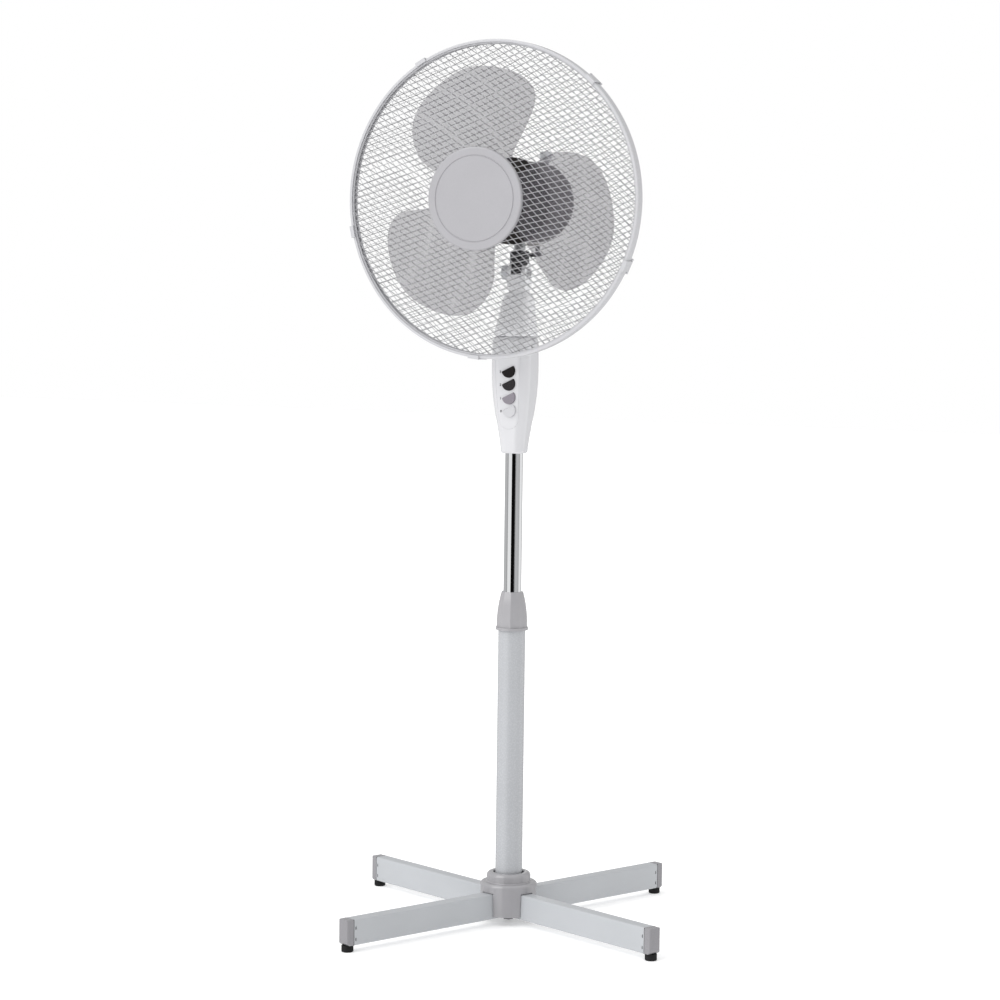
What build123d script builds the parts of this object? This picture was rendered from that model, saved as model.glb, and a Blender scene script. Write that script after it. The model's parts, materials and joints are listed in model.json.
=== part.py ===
from build123d import *
import os
from math import cos, pi, radians, sin, sqrt

# Pedestal fan. The head and the control box face -Y, +Z is up, and the origin lies on the
# floor under the pole's axis. All lengths are in mm, all angles in degrees.

os.makedirs("parts", exist_ok=True)

# ---- driving dimensions -------------------------------------------------------------------
FIT = 0.05                 # radial clearance of a running fit
SLIP = 0.15                # gap round a fixed insert

# cross base
CROSS_TURN = 21.0          # the mast stands turned by this much over the cross of legs
LEG_ANGLES = [45 + CROSS_TURN + 90 * n for n in range(4)]
LEG_REACH = 286.0          # pole axis to the open end of a leg
LEG_WIDTH = 20.0
LEG_HEIGHT = 36.0
LEG_WALL = 1.5
LEG_CORNER = 2.5
LEG_BOTTOM = 9.0           # the rubber feet lift the legs by this much
LEG_MIDDLE = LEG_BOTTOM + LEG_HEIGHT / 2
LEG_TOP = LEG_BOTTOM + LEG_HEIGHT
SNAP_REACH = 283.2         # two small slots, one over the other, go through bar and cap
SNAP_LOW = -9.5            # from the middle of the bar's height
SNAP_HIGH = 6.0
CAP_LENGTH = 12.0
CAP_GAP = 0.9              # open joint between a bar and its cap
CAP_PLUG = 15.0
FOOT_REACH = 290.0
FOOT_RADIUS = 8.25
FOOT_STEM_RADIUS = 2.5
FOOT_STEM = 4.5
HUB_SKIRT_RADIUS = 39.2
HUB_SHOULDER_RADIUS = 40.5
HUB_RING_RADIUS = 31.0     # a thick round-edged ring stands round the foot of the tube
HUB_BOTTOM = 12.5
LEG_SLIT = 0.9             # open slit between a leg and the hub's wall
HUB_FLOOR = 50.0           # the lower tube stands on this floor
HUB_TOP = 72.0
BOLT_RADIUS = 4.0

# telescopic pole
TUBE_RADIUS = 19.0
TUBE_WALL = 1.2
TUBE_TOP = 430.0
TUBE_BORE = TUBE_RADIUS - TUBE_WALL
MAST_RADIUS = 12.5
MAST_WALL = 1.0
MAST_BOTTOM = 346.0
MAST_TOP = 700.0
COLLET_BOTTOM = 395.0
COLLET_TOP = 452.0
COLLAR_BOTTOM = 417.0
COLLAR_TOP = 471.0
BUSH_BOTTOM = 350.0
BUSH_HEIGHT = 22.0

# control box
BOX_BOTTOM = 666.0
BOX_TOP = 830.0
BOX_WALL = 2.2
BOX_SECTIONS = [           # height, width, depth, corner radius
    (BOX_BOTTOM, 34.0, 32.0, 11.0),
    (684.0, 38.0, 36.0, 13.0),
    (718.0, 48.0, 44.0, 14.0),
    (799.0, 58.0, 54.0, 16.0),
    (BOX_TOP, 58.0, 54.0, 17.0),
]
SEAM_Y = 5.0               # the front and rear shells meet here
BUTTON_HEIGHTS = [730.0, 748.0, 767.0, 785.0]
BUTTON_X = 2.0
BUTTON_RADIUS = 10.0
BUTTON_RISE = 2.8          # centre of the round to the cut edge
BUTTON_SLANT = 26.0
BUTTON_PROUD = 3.0
BUTTON_BACK = 16.0
SWITCH_FRONT = 12.5
CORD_RADIUS = 3.5
GROMMET_Z = 700.0

# neck and tilt
NECK_Y = 10.0              # neck, tilt and swing axes lie this far behind the pole's axis
NECK_WIDTH = 27.0
NECK_DEPTH = 24.0
NECK_SECTIONS = [          # height, width, depth, how far back, corner radius
    (830, 54.0, 50.0, 0.5, 15.0),
    (848, 50.5, 45.0, 3.0, 14.0),
    (867, 45.0, 38.0, 6.5, 12.5),
    (883, 40.0, 32.5, 9.0, 11.0),
    (890, 33.0, 27.0, 10.0, 10.0),
]
TILT_Z = 918.0
EAR_RADIUS = 12.0
TONGUE = 15.8              # thickness of the tongue between the ears
PIN_RADIUS = 3.0
BOSS_RADIUS = 13.5
BOSS_BOTTOM = 930.5
BOSS_TOP = 948.0
SWING_RADIUS = 5.0

# head
HEAD_Z = 1017.0            # the fan's axis, along Y
MOTOR_RADIUS = 56.5
MOTOR_WALL = 2.0
MOTOR_FRONT = -20.0
MOTOR_SPLIT = 20.0
MOTOR_REAR = 95.0
SHAFT_RADIUS = 4.0
STATOR_RADIUS = 40.0
STATOR_BORE = 20.0
STATOR_FRONT = -4.0
STATOR_REAR = 18.0
AIR_GAP = 0.4

# oscillating gear
GEAR_Y = 58.0
WORM_PITCH_RADIUS = 5.0
WHEEL_TEETH = 40
WHEEL_MODULE = 0.6
WHEEL_X = WORM_PITCH_RADIUS + WHEEL_TEETH * WHEEL_MODULE / 2
PINION_TEETH = 10
CRANK_TEETH = 55
CRANK_MODULE = 0.75
CRANK_X = WHEEL_X - (PINION_TEETH + CRANK_TEETH) * CRANK_MODULE / 2
CRANK_THROW = 10.0
CRANK_PIN_RADIUS = 2.5
GEAR_BOTTOM = 976.5
GEAR_TOP = 983.5
LINK_BOTTOM = 955.5
LINK_TOP = 959.0
STUD_X = 20.0
STUD_Y = 26.0

# guards
HOOP_RADIUS = 217.0
HOOP_Y = -81.0
HOOP_WIDTH = 15.5
HOOP_SKIN = 2.0
HOOP_LIP = 1.5
HOOP_LIP_DEPTH = 3.8
RIM_RADIUS = 212.6
RIM_WIRE = 1.8
FRONT_RIM_Y = -85.2
REAR_RIM_Y = -76.8
GUARD_SPHERE = 415.0       # both wire nets are caps of this sphere
NET_EDGE = RIM_RADIUS - RIM_WIRE - 0.1
NET_SKIN = 0.5             # a closed skin with about the mass of the two wire layers
BADGE_RADIUS = 69.5
BADGE_FACE = -141.0
BADGE_GROOVE = 58.0
PLATE_RADIUS = 60.0
CLIP_ANGLES = [120.0, 48.0, -24.0, 192.0]
LATCH_ANGLE = -96.0
CLIP_LENGTH = 16.0
CLIP_SKIN = 1.3            # a clip is a thin plate over the hoop

# impeller
BLADE_COUNT = 3
BLADE_MIDDLE_Y = -80.0
BLADE_RISE = 0.24          # advance along the axis for each degree, as on a screw
BLADE_SKIN = 2.0
BLADE_OUTLINE = [          # angle and radius of one paddle's rounded edge, seen from the front
    (69, 70), (67, 100), (66.5, 130), (69, 156), (76, 170), (88, 179),
    (102, 184), (118, 177), (139, 158), (150, 128), (155, 91),
]
BLADE_HUB_RADIUS = 24.0


def leg_section(turn):
    """The plane across a leg at the pole's axis: x across the leg, y up."""
    along = (cos(radians(turn)), sin(radians(turn)), 0)
    across = (-sin(radians(turn)), cos(radians(turn)), 0)
    return Plane(origin=(0, 0, 0), x_dir=across, z_dir=along)


def leg_side(turn):
    """The upright plane along a leg: x outwards, y up."""
    along = (cos(radians(turn)), sin(radians(turn)), 0)
    across = (sin(radians(turn)), -cos(radians(turn)), 0)
    return Plane(origin=(0, 0, 0), x_dir=along, z_dir=across)


def rim_plane(turn):
    """A plane on the head's axis: x along the hoop, y rearwards, z outwards at this angle."""
    outwards = (cos(radians(turn)), 0, sin(radians(turn)))
    along = (sin(radians(turn)), 0, -cos(radians(turn)))
    return Plane(origin=(0, 0, HEAD_Z), x_dir=along, z_dir=outwards)


# ---- cross base ---------------------------------------------------------------------------
def make_leg_bar(label, turn, notch_bottom):
    with BuildPart() as leg_bar:
        with BuildSketch(leg_section(turn)):
            with Locations((0, LEG_MIDDLE)):
                RectangleRounded(LEG_WIDTH, LEG_HEIGHT, LEG_CORNER)
                RectangleRounded(
                    LEG_WIDTH - 2 * LEG_WALL,
                    LEG_HEIGHT - 2 * LEG_WALL,
                    LEG_CORNER - LEG_WALL,
                    mode=Mode.SUBTRACT,
                )
        extrude(amount=LEG_REACH, both=True)
        # half of the bar is cut away where it crosses the other one
        with BuildSketch(Plane.XY.offset(notch_bottom).rotated((0, 0, turn))):
            Rectangle(LEG_WIDTH + 2 * SLIP, LEG_WIDTH + 2)
        extrude(amount=LEG_HEIGHT / 2 + SLIP, mode=Mode.SUBTRACT)
        with BuildSketch(Plane.XY):
            Circle(BOLT_RADIUS + SLIP)
        extrude(amount=LEG_TOP, mode=Mode.SUBTRACT)
        with BuildSketch(leg_side(turn)):
            for end in (-SNAP_REACH, SNAP_REACH):
                with Locations((end, LEG_MIDDLE + SNAP_LOW), (end, LEG_MIDDLE + SNAP_HIGH)):
                    SlotOverall(5, 1.8, rotation=90)
        extrude(amount=LEG_WIDTH, both=True, mode=Mode.SUBTRACT)
    leg_bar.part.label = label
    export_step(leg_bar.part, f"parts/{label}.step")


def make_leg_cap(number, turn):
    with BuildPart() as leg_cap:
        with BuildSketch(leg_side(turn)) as cap_side:
            with Locations((LEG_REACH + CAP_GAP, LEG_BOTTOM)):
                Rectangle(CAP_LENGTH - CAP_GAP, LEG_HEIGHT, align=(Align.MIN, Align.MIN))
            outer = cap_side.vertices().group_by(Axis.X)[-1].sort_by(Axis.Y)
            fillet(outer[0], radius=7)
            fillet(outer[1], radius=2.5)
        extrude(amount=LEG_WIDTH / 2, both=True)
        # the long edges are as round as the bar's, and the upright ones rounder
        with BuildSketch(leg_section(turn).offset(LEG_REACH)):
            with Locations((0, LEG_MIDDLE)):
                RectangleRounded(LEG_WIDTH, LEG_HEIGHT, LEG_CORNER)
        extrude(amount=2 * CAP_LENGTH, mode=Mode.INTERSECT)
        with BuildSketch(Plane.XY.rotated((0, 0, turn))):
            with Locations((LEG_REACH, 0)):
                RectangleRounded(2 * CAP_LENGTH, LEG_WIDTH, 3)
        extrude(amount=LEG_TOP, mode=Mode.INTERSECT)
        with BuildSketch(leg_section(turn).offset(LEG_REACH + CAP_GAP)):
            with Locations((0, LEG_MIDDLE)):
                Rectangle(LEG_WIDTH - 2 * LEG_WALL - 2 * SLIP, LEG_HEIGHT - 2 * LEG_WALL - 2 * SLIP)
        extrude(amount=-CAP_PLUG)
        with BuildSketch(leg_side(turn)):
            with Locations((SNAP_REACH, LEG_MIDDLE + SNAP_LOW), (SNAP_REACH, LEG_MIDDLE + SNAP_HIGH)):
                SlotOverall(5, 1.8, rotation=90)
        extrude(amount=LEG_WIDTH, both=True, mode=Mode.SUBTRACT)
        with BuildSketch(Plane.XY.offset(LEG_BOTTOM).rotated((0, 0, turn))):
            with Locations((FOOT_REACH, 0)):
                Circle(FOOT_STEM_RADIUS + FIT)
        extrude(amount=FOOT_STEM + SLIP, mode=Mode.SUBTRACT)
    leg_cap.part.label = f"leg_cap_{number}"
    export_step(leg_cap.part, f"parts/leg_cap_{number}.step")


def make_rubber_feet():
    with BuildPart() as rubber_feet:
        with BuildSketch(Plane.XY):
            with PolarLocations(FOOT_REACH, 4, start_angle=LEG_ANGLES[0]):
                Circle(FOOT_RADIUS)
        extrude(amount=LEG_BOTTOM)
        fillet(rubber_feet.edges().group_by(Axis.Z)[0], radius=1.5)
        with BuildSketch(Plane.XY.offset(LEG_BOTTOM)):
            with PolarLocations(FOOT_REACH, 4, start_angle=LEG_ANGLES[0]):
                Circle(FOOT_STEM_RADIUS)
        extrude(amount=FOOT_STEM)
    rubber_feet.part.label = "rubber_feet"
    export_step(rubber_feet.part, "parts/rubber_feet.step")


def make_base_hub():
    with BuildPart() as base_hub:
        with BuildSketch(Plane.XZ):
            with BuildLine():
                FilletPolyline(
                    (TUBE_RADIUS + FIT, HUB_TOP - 7),
                    (TUBE_RADIUS + 2.6, HUB_TOP - 7),
                    (TUBE_RADIUS + 2.6, HUB_TOP),
                    (HUB_RING_RADIUS, HUB_TOP),
                    (HUB_RING_RADIUS, 58.5),
                    (HUB_SHOULDER_RADIUS, 58),
                    (HUB_SKIRT_RADIUS, HUB_BOTTOM),
                    (36.5, HUB_BOTTOM),
                    radius=[0.5, 1.8, 5.5, 1.5, 4.5, 0.8],
                )
                Polyline(
                    (36.5, HUB_BOTTOM),
                    (36.5, 42),
                    (BOLT_RADIUS + SLIP, 42),
                    (BOLT_RADIUS + SLIP, HUB_FLOOR),
                    (TUBE_RADIUS + FIT, HUB_FLOOR),
                    (TUBE_RADIUS + FIT, HUB_TOP - 7),
                )
            make_face()
        revolve(axis=Axis.Z)
        # two crossing slots hold the leg bars
        for turn in LEG_ANGLES[:2]:
            with BuildSketch(Plane.XY.rotated((0, 0, turn))):
                Rectangle(4 * HUB_SHOULDER_RADIUS, LEG_WIDTH + 2 * FIT)
            extrude(amount=LEG_TOP, mode=Mode.SUBTRACT)
        # and the mouths of the slots stand a little wider and higher than the legs
        for turn in LEG_ANGLES:
            with BuildSketch(Plane.XY.rotated((0, 0, turn))):
                with Locations((HUB_SHOULDER_RADIUS, 0)):
                    Rectangle(10, LEG_WIDTH + 2 * LEG_SLIT)
            extrude(amount=LEG_TOP + LEG_SLIT, mode=Mode.SUBTRACT)
    base_hub.part.label = "base_hub"
    export_step(base_hub.part, "parts/base_hub.step")


def make_base_bolt():
    with BuildPart() as base_bolt:
        with BuildSketch(Plane.XY.offset(LEG_BOTTOM)):
            RegularPolygon(7.5, 6)
        extrude(amount=-5.5)
        with BuildSketch(Plane.XY.offset(LEG_BOTTOM)):
            Circle(BOLT_RADIUS)
        extrude(amount=HUB_FLOOR + 8 - LEG_BOTTOM)
    base_bolt.part.label = "base_bolt"
    export_step(base_bolt.part, "parts/base_bolt.step")


def make_lower_tube():
    with BuildPart() as lower_tube:
        with BuildSketch(Plane.XY.offset(HUB_FLOOR)):
            Circle(TUBE_RADIUS)
        extrude(amount=TUBE_TOP - HUB_FLOOR)
        # a threaded plug welded in the foot of the tube takes the base bolt
        with BuildSketch(Plane.XY.offset(HUB_FLOOR + 8)):
            Circle(TUBE_BORE)
        extrude(amount=TUBE_TOP - HUB_FLOOR, mode=Mode.SUBTRACT)
        with BuildSketch(Plane.XY.offset(HUB_FLOOR)):
            Circle(BOLT_RADIUS + FIT)
        extrude(amount=8, mode=Mode.SUBTRACT)
    lower_tube.part.label = "lower_tube"
    export_step(lower_tube.part, "parts/lower_tube.step")


# ---- height lock --------------------------------------------------------------------------
def make_collet_bush():
    with BuildPart() as collet_bush:
        with BuildSketch(Plane.XZ):
            with BuildLine():
                Polyline(
                    (MAST_RADIUS + FIT, COLLET_BOTTOM),
                    (TUBE_BORE - FIT, COLLET_BOTTOM),
                    (TUBE_BORE - FIT, TUBE_TOP),
                    (TUBE_RADIUS, TUBE_TOP),
                    (TUBE_RADIUS, TUBE_TOP + 2),
                    (17.5, TUBE_TOP + 2),
                    (14.2, COLLET_TOP),
                    (MAST_RADIUS + FIT, COLLET_TOP),
                    close=True,
                )
            make_face()
        revolve(axis=Axis.Z)
        # four slits let the fingers close on the mast
        with BuildSketch(Plane.XY.offset(TUBE_TOP + 4)):
            Rectangle(1.5, 50)
            Rectangle(50, 1.5)
        extrude(amount=COLLET_TOP - TUBE_TOP, mode=Mode.SUBTRACT)
    collet_bush.part.label = "collet_bush"
    export_step(collet_bush.part, "parts/collet_bush.step")


def make_height_collar():
    with BuildPart() as height_collar:
        for height, radius in ((COLLAR_BOTTOM + 4, 21.9), (446, 20.6), (COLLAR_TOP, 15.4)):
            with BuildSketch(Plane.XY.offset(height)):
                RegularPolygon(radius, 10)
        loft()
        with BuildSketch(Plane.XY.offset(COLLAR_BOTTOM)):
            Circle(22.8)
        extrude(amount=4)
        fillet(height_collar.edges().group_by(Axis.Z)[0], radius=0.8)
        with BuildSketch(Plane.XZ):
            with BuildLine():
                Polyline(
                    (0, COLLAR_BOTTOM),
                    (TUBE_RADIUS + FIT, COLLAR_BOTTOM),
                    (TUBE_RADIUS + FIT, TUBE_TOP + 2.5),
                    (18.0, TUBE_TOP + 2.5),
                    (14.7, COLLET_TOP + 0.6),
                    (MAST_RADIUS + 2 * FIT, COLLET_TOP + 0.6),
                    (MAST_RADIUS + 2 * FIT, COLLAR_TOP),
                    (0, COLLAR_TOP),
                    close=True,
                )
            make_face()
        revolve(axis=Axis.Z, mode=Mode.SUBTRACT)
    height_collar.part.label = "height_collar"
    export_step(height_collar.part, "parts/height_collar.step")


def make_slide_bush():
    with BuildPart() as slide_bush:
        with BuildSketch(Plane.XY.offset(BUSH_BOTTOM)):
            Circle(TUBE_BORE - FIT)
            Circle(MAST_RADIUS + FIT, mode=Mode.SUBTRACT)
        extrude(amount=BUSH_HEIGHT)
    slide_bush.part.label = "slide_bush"
    export_step(slide_bush.part, "parts/slide_bush.step")


def make_upper_tube():
    with BuildPart() as upper_tube:
        with BuildSketch(Plane.XY.offset(MAST_BOTTOM)):
            Circle(MAST_RADIUS)
            Circle(MAST_RADIUS - MAST_WALL, mode=Mode.SUBTRACT)
        extrude(amount=MAST_TOP - MAST_BOTTOM)
        # the rolled lip at the foot keeps the slide bush on the mast
        with BuildSketch(Plane.XY.offset(MAST_BOTTOM)):
            Circle(MAST_RADIUS + 2)
            Circle(MAST_RADIUS - MAST_WALL, mode=Mode.SUBTRACT)
        extrude(amount=BUSH_BOTTOM - MAST_BOTTOM - 2 * FIT)
    upper_tube.part.label = "upper_tube"
    export_step(upper_tube.part, "parts/upper_tube.step")


# ---- control box --------------------------------------------------------------------------
def box_skin(inset):
    """The tapered solid of the control box, inset from its outer surface."""
    with BuildPart() as skin:
        for height, width, depth, corner in BOX_SECTIONS:
            level = min(max(height, BOX_BOTTOM + inset), BOX_TOP - inset)
            with BuildSketch(Plane.XY.offset(level)):
                RectangleRounded(width - 2 * inset, depth - 2 * inset, corner - inset)
        loft()
        fillet(skin.edges().group_by(Axis.Z)[-1], radius=9 - inset)
        fillet(skin.edges().group_by(Axis.Z)[0], radius=4 - inset)
    return skin.part


def panel_outline(margin):
    """The front insert: straight sides that run down into a round end, facing -Y."""
    with BuildSketch(Plane.XZ) as outline:
        with BuildLine():
            sides = Polyline((-15, 716), (-20, 814), (20, 814), (15, 716))
            ThreePointArc(sides @ 0, (0, 700.5), sides @ 1)
        make_face()
        fillet(outline.vertices().group_by(Axis.Y)[-1], radius=5)
        if margin > 0:
            offset(amount=margin, kind=Kind.ARC)
    return outline.sketch


def button_outline(height, margin):
    """A round button with its upper side cut off along a slanting edge."""
    with BuildSketch(Plane.XZ) as outline:
        with Locations((BUTTON_X, height - 2.5)):
            Circle(BUTTON_RADIUS)
        with Locations(Location((BUTTON_X, height - 2.5), BUTTON_SLANT)):
            with Locations((0, BUTTON_RISE)):
                Rectangle(
                    3 * BUTTON_RADIUS,
                    2 * BUTTON_RADIUS,
                    align=(Align.CENTER, Align.MIN),
                    mode=Mode.SUBTRACT,
                )
        fillet(outline.vertices(), radius=1.2)
        if margin > 0:
            offset(amount=margin, kind=Kind.ARC)
    return outline.sketch


def neck_hole():
    """The opening in the box's top for the neck."""
    with BuildPart() as hole:
        with BuildSketch(Plane.XY.offset(BOX_TOP - 20)):
            with Locations((0, NECK_Y)):
                RectangleRounded(NECK_WIDTH + 2 * FIT, NECK_DEPTH + 2 * FIT, 8)
        extrude(amount=40)
    return hole.part


BOX_OUTER = box_skin(0)
BOX_INNER = box_skin(BOX_WALL)
NECK_HOLE = neck_hole()
PANEL_CUT = panel_outline(SLIP)


def make_control_front():
    with BuildPart() as control_front:
        add(BOX_OUTER)
        add(BOX_INNER, mode=Mode.SUBTRACT)
        add(NECK_HOLE, mode=Mode.SUBTRACT)
        with BuildSketch(Plane.XY.offset(BOX_BOTTOM)):
            Circle(MAST_RADIUS + FIT)
        extrude(amount=20, mode=Mode.SUBTRACT)
        extrude(PANEL_CUT, amount=40, mode=Mode.SUBTRACT)
        split(bisect_by=Plane.XZ.offset(-SEAM_Y), keep=Keep.TOP)
    control_front.part.label = "control_front"
    export_step(control_front.part, "parts/control_front.step")


def make_control_rear():
    with BuildPart() as control_rear:
        add(BOX_OUTER)
        add(BOX_INNER, mode=Mode.SUBTRACT)
        add(NECK_HOLE, mode=Mode.SUBTRACT)
        with BuildSketch(Plane.XY.offset(BOX_BOTTOM)):
            Circle(MAST_RADIUS + FIT)
        extrude(amount=20, mode=Mode.SUBTRACT)
        with BuildSketch(Plane.XZ):
            with Locations((0, GROMMET_Z)):
                Circle(CORD_RADIUS + 2)
            with Locations((0, 760)):
                Circle(1.6)
        extrude(amount=-40, mode=Mode.SUBTRACT)
        split(bisect_by=Plane.XZ.offset(-SEAM_Y), keep=Keep.BOTTOM)
    control_rear.part.label = "control_rear"
    export_step(control_rear.part, "parts/control_rear.step")


def make_button_panel():
    windows = [button_outline(height, SLIP) for height in BUTTON_HEIGHTS]
    with BuildPart() as button_panel:
        extrude(panel_outline(0), amount=40)
        add(BOX_OUTER, mode=Mode.INTERSECT)
        add(BOX_INNER, mode=Mode.SUBTRACT)
        for window in windows:
            extrude(window, amount=40, mode=Mode.SUBTRACT)
    button_panel.part.label = "button_panel"
    export_step(button_panel.part, "parts/button_panel.step")


def face_depth(height):
    """How far in front of the pole's axis the box's front face lies at this height."""
    slope = (27.0 - 22.0) / (799.0 - 718.0)
    return 22.0 + slope * (height - 718.0)


def make_button(number, height):
    front = face_depth(height) + BUTTON_PROUD
    shape = button_outline(height, 0)
    with BuildPart() as button:
        extrude(shape, amount=front)
        fillet(button.edges().group_by(Axis.Y)[0], radius=1.0)
        with BuildSketch(Plane.XZ):
            with Locations((BUTTON_X, height)):
                Rectangle(40, 40)
        extrude(amount=BUTTON_BACK, mode=Mode.SUBTRACT)
        with BuildSketch(Plane.XZ.offset(BUTTON_BACK)):
            with Locations((BUTTON_X, height)):
                Circle(2.5)
        extrude(amount=-9)
    button.part.label = f"button_{number}"
    export_step(button.part, f"parts/button_{number}.step")


def make_switch_block():
    low = BUTTON_HEIGHTS[0] - 10
    high = BUTTON_HEIGHTS[-1] + 10
    with BuildPart() as switch_block:
        with BuildSketch(Plane.XY.offset(low)):
            with Locations((0, -SWITCH_FRONT)):
                Rectangle(26, 16, align=(Align.CENTER, Align.MIN))
        extrude(amount=high - low)
        with BuildSketch(Plane.XZ.offset(SWITCH_FRONT)):
            for height in BUTTON_HEIGHTS:
                with Locations((BUTTON_X, height)):
                    Circle(2.5 + FIT)
        extrude(amount=-12, mode=Mode.SUBTRACT)
        # terminals on the back
        with BuildSketch(Plane.XZ.offset(SWITCH_FRONT - 16)):
            with Locations((0, (low + high) / 2)):
                with GridLocations(10, 14, 2, 4):
                    Rectangle(1, 4)
        extrude(amount=-6)
    switch_block.part.label = "switch_block"
    export_step(switch_block.part, "parts/switch_block.step")


def make_cord_grommet():
    with BuildPart() as cord_grommet:
        with BuildSketch(Plane.XY.offset(GROMMET_Z)):
            with BuildLine():
                Polyline(
                    (CORD_RADIUS, 13.2),
                    (CORD_RADIUS + 2 - FIT, 13.2),
                    (CORD_RADIUS + 2 - FIT, 21),
                    (CORD_RADIUS + 3.5, 21),
                    (CORD_RADIUS + 3.5, 23.2),
                    (CORD_RADIUS, 23.2),
                    close=True,
                )
            make_face()
        revolve(axis=Axis((0, 0, GROMMET_Z), (0, 1, 0)))
    cord_grommet.part.label = "cord_grommet"
    export_step(cord_grommet.part, "parts/cord_grommet.step")


def make_housing_screw():
    depth = face_depth(760) + 1.3
    with BuildPart() as housing_screw:
        with BuildSketch(Plane.XZ.offset(-depth)):
            with Locations((0, 760)):
                Circle(3)
        extrude(amount=-1.6)
        with BuildSketch(Plane.XZ.offset(-depth)):
            with Locations((0, 760)):
                Circle(1.5)
        extrude(amount=14)
    housing_screw.part.label = "housing_screw"
    export_step(housing_screw.part, "parts/housing_screw.step")


# ---- neck and tilt ------------------------------------------------------------------------
def make_neck_post():
    with BuildPart() as neck_post:
        with BuildSketch(Plane.XY.offset(BOX_TOP - 14)):
            with Locations((0, NECK_Y)):
                RectangleRounded(NECK_WIDTH, NECK_DEPTH, 8)
        extrude(amount=TILT_Z - EAR_RADIUS - BOX_TOP + 14)
        # above the box the neck tapers from the box's own width to that of the ears
        for height, width, depth, back, corner in NECK_SECTIONS:
            with BuildSketch(Plane.XY.offset(height)):
                with Locations((0, back)):
                    RectangleRounded(width, depth, corner)
        loft()
        with BuildSketch(Plane.YZ):
            with Locations((NECK_Y, TILT_Z)):
                Circle(EAR_RADIUS)
                Rectangle(2 * EAR_RADIUS, 20, align=(Align.CENTER, Align.MAX))
        extrude(amount=NECK_WIDTH / 2, both=True)
        with BuildSketch(Plane.YZ):
            with Locations((NECK_Y, TILT_Z)):
                Circle(EAR_RADIUS + 0.3)
                Rectangle(40, 20, align=(Align.CENTER, Align.MIN))
        extrude(amount=TONGUE / 2 + FIT, both=True, mode=Mode.SUBTRACT)
        with BuildSketch(Plane.YZ):
            with Locations((NECK_Y, TILT_Z)):
                Circle(PIN_RADIUS + FIT)
        extrude(amount=NECK_WIDTH, both=True, mode=Mode.SUBTRACT)
    neck_post.part.label = "neck_post"
    export_step(neck_post.part, "parts/neck_post.step")


def make_tilt_bolt():
    with BuildPart() as tilt_bolt:
        with BuildSketch(Plane.YZ.offset(-24)):
            with Locations((NECK_Y, TILT_Z)):
                Circle(PIN_RADIUS)
        extrude(amount=24 + NECK_WIDTH / 2)
        with BuildSketch(Plane.YZ.offset(NECK_WIDTH / 2)):
            with Locations((NECK_Y, TILT_Z)):
                Circle(5.5)
        extrude(amount=3)
        fillet(tilt_bolt.edges().group_by(Axis.X)[-1], radius=1)
        with BuildSketch(Plane.YZ.offset(NECK_WIDTH / 2 + 3)):
            with Locations((NECK_Y, TILT_Z)):
                RegularPolygon(2.9, 6)
        extrude(amount=-2, mode=Mode.SUBTRACT)
    tilt_bolt.part.label = "tilt_bolt"
    export_step(tilt_bolt.part, "parts/tilt_bolt.step")


def make_tilt_knob():
    with BuildPart() as tilt_knob:
        with BuildSketch(Plane.YZ.offset(-NECK_WIDTH / 2 - FIT)) as grip:
            with Locations((NECK_Y, TILT_Z)):
                Circle(9.5)
                with PolarLocations(8.5, 6):
                    Circle(2.6)
        extrude(amount=-11)
        fillet(tilt_knob.edges().group_by(Axis.X)[0], radius=0.8)
        with BuildSketch(Plane.YZ.offset(-NECK_WIDTH / 2 - FIT)):
            with Locations((NECK_Y, TILT_Z)):
                Circle(PIN_RADIUS + FIT)
        extrude(amount=-10.6, mode=Mode.SUBTRACT)
    tilt_knob.part.label = "tilt_knob"
    export_step(tilt_knob.part, "parts/tilt_knob.step")


def make_tilt_knuckle():
    with BuildPart() as tilt_knuckle:
        with BuildSketch(Plane.YZ):
            with Locations((NECK_Y, TILT_Z)):
                Circle(EAR_RADIUS - 0.3)
                Rectangle(20, BOSS_BOTTOM + 2 - TILT_Z, align=(Align.CENTER, Align.MIN))
        extrude(amount=TONGUE / 2, both=True)
        with BuildSketch(Plane.XY.offset(BOSS_BOTTOM)):
            with Locations((0, NECK_Y)):
                Circle(BOSS_RADIUS)
        extrude(amount=BOSS_TOP - BOSS_BOTTOM)
        fillet(tilt_knuckle.edges().group_by(Axis.Z)[-1], radius=1.5)
        # the arm and stud that hold the free end of the crank's link
        with BuildSketch(Plane.XY.offset(BOSS_TOP - 8)):
            SlotCenterPoint((STUD_X / 2, (NECK_Y + STUD_Y) / 2), (STUD_X, STUD_Y), 11)
        extrude(amount=6)
        with BuildSketch(Plane.XY.offset(BOSS_TOP - 3)):
            with Locations((STUD_X, STUD_Y)):
                Circle(3)
        extrude(amount=LINK_BOTTOM - 0.4 - BOSS_TOP + 3)
        with BuildSketch(Plane.XY.offset(BOSS_BOTTOM + 3)):
            with Locations((0, NECK_Y)):
                Circle(SWING_RADIUS + FIT)
        extrude(amount=BOSS_TOP - BOSS_BOTTOM, mode=Mode.SUBTRACT)
        with BuildSketch(Plane.YZ):
            with Locations((NECK_Y, TILT_Z)):
                Circle(PIN_RADIUS + FIT)
        extrude(amount=NECK_WIDTH, both=True, mode=Mode.SUBTRACT)
    tilt_knuckle.part.label = "tilt_knuckle"
    export_step(tilt_knuckle.part, "parts/tilt_knuckle.step")


# ---- motor --------------------------------------------------------------------------------
HEAD_AXIS = Axis((0, 0, HEAD_Z), (0, 1, 0))
HEAD_PLANE = Plane.XY.offset(HEAD_Z)       # x is the radius from the head's axis, y is Y
INNER_RADIUS = MOTOR_RADIUS - MOTOR_WALL


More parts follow.
